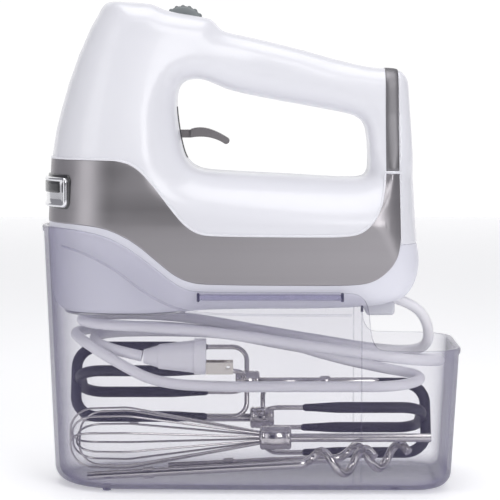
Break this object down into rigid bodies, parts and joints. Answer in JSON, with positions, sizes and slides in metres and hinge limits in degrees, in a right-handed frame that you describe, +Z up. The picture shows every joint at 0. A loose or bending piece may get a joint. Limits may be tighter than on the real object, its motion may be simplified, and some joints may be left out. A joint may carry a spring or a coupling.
{
  "type": "hand mixer with storage case",
  "caption": "Electric hand mixer with steel band, closed handle and eject trigger, standing on a clear case that holds its beaters, whisk, dough hooks and cord.",
  "frame": {"origin": "centre of the case's footprint, at the underside of its feet", "axes": "+X from the nose to the heel of the mixer, +Y to its far side, +Z up"},
  "size_m": [0.252, 0.1016, 0.2933],
  "materials": {
    "white_shell": "satin white moulding",
    "clear_case": "clear lavender moulding",
    "steel": "fine horizontal brushing",
    "tool_steel": "polished",
    "black_rubber": "soft matt",
    "grey_plastic": "satin",
    "dark_plastic": "satin",
    "pad_plastic": "matt",
    "bright_chrome": "mirror chrome",
    "cord_white": "soft flexible vinyl",
    "blade_metal": "nickel plated",
    "lamination": "stacked sheet",
    "copper": "enamelled wire",
    "gear_plastic": "nylon",
    "bush_bronze": "sintered",
    "board_green": "printed board",
    "machined_steel": "turned"
  },
  "bodies": {
    "case": {"storage_case": "clear_case", "case_feet": "clear_case", "beater_left_shaft": "tool_steel", "beater_left_wires": "tool_steel", "beater_left_rubber": "black_rubber", "beater_right_shaft": "tool_steel", "beater_right_wires": "tool_steel", "beater_right_rubber": "black_rubber", "whisk_shaft": "tool_steel", "whisk_collar": "tool_steel", "whisk_wires": "tool_steel", "dough_hook_left": "tool_steel", "dough_hook_right": "tool_steel"},
    "mixer": {"base_housing": "white_shell", "housing_screws": "machined_steel", "strain_relief": "cord_white", "housing_left": "white_shell", "housing_right": "white_shell", "steel_band": "steel", "rear_cover": "white_shell", "rear_trim": "steel", "trigger_bezel": "dark_plastic", "heel_pad": "pad_plastic", "badge_surround": "dark_plastic", "badge_frame": "bright_chrome", "badge_panel": "dark_plastic", "dial_axle": "machined_steel", "trigger_pin": "machined_steel", "motor_stator": "lamination", "motor_coils": "copper", "motor_bracket": "gear_plastic", "shaft_bearings": "machined_steel", "brush_holders": "bush_bronze", "gearbox_lower_plate": "gear_plastic", "gearbox_upper_plate": "gear_plastic", "spindle_bushes": "bush_bronze", "circuit_board": "board_green", "board_parts": "dark_plastic", "speed_switch": "dark_plastic", "cord_clamp": "gear_plastic", "power_cord": "cord_white", "plug_body": "cord_white", "plug_blades": "blade_metal"},
    "dial": {"speed_dial": "grey_plastic"},
    "trigger": {"eject_trigger": "grey_plastic"},
    "ejector": {"ejector_plate": "gear_plastic"},
    "armature": {"armature_shaft": "machined_steel", "armature_core": "lamination", "commutator": "copper", "cooling_fan": "gear_plastic", "drive_worm": "machined_steel"},
    "left_spindle": {"spindle_left": "machined_steel", "worm_wheel_left": "gear_plastic"},
    "right_spindle": {"spindle_right": "machined_steel", "worm_wheel_right": "gear_plastic"}
  },
  "joints": [
    {"name": "mixer_lift", "type": "slide", "parent": "case", "child": "mixer", "axis": [0, 0, 1], "range_m": [0, 0.2]},
    {"name": "dial_turn", "type": "hinge", "parent": "mixer", "child": "dial", "pos_m": [-0.0404, 0, 0.2772], "axis": [0, 1, 0], "range_deg": [0, 150]},
    {"name": "trigger_pull", "type": "hinge", "parent": "mixer", "child": "trigger", "pos_m": [-0.052, 0, 0.213], "axis": [0, -1, 0], "range_deg": [0, 13]},
    {"name": "ejector_slide", "type": "slide", "parent": "mixer", "child": "ejector", "axis": [0, 0, -1], "range_m": [0, 0.0049], "stiffness_N_per_m": 25, "springref_m": -0.005},
    {"name": "motor_turn", "type": "hinge", "parent": "mixer", "child": "armature", "pos_m": [-0.076, 0, 0.143], "axis": [1, 0, 0], "continuous": true},
    {"name": "left_spindle_turn", "type": "hinge", "parent": "mixer", "child": "left_spindle", "pos_m": [-0.076, -0.018, 0.143], "axis": [0, 0, 1], "continuous": true},
    {"name": "right_spindle_turn", "type": "hinge", "parent": "mixer", "child": "right_spindle", "pos_m": [-0.076, 0.018, 0.143], "axis": [0, 0, 1], "continuous": true}
  ],
  "couplings": [
    {"joint": "trigger_pull", "follows": "ejector_slide", "rad_per_m": 45.455},
    {"joint": "left_spindle_turn", "follows": "motor_turn", "ratio": 0.083333},
    {"joint": "right_spindle_turn", "follows": "motor_turn", "ratio": -0.083333}
  ]
}
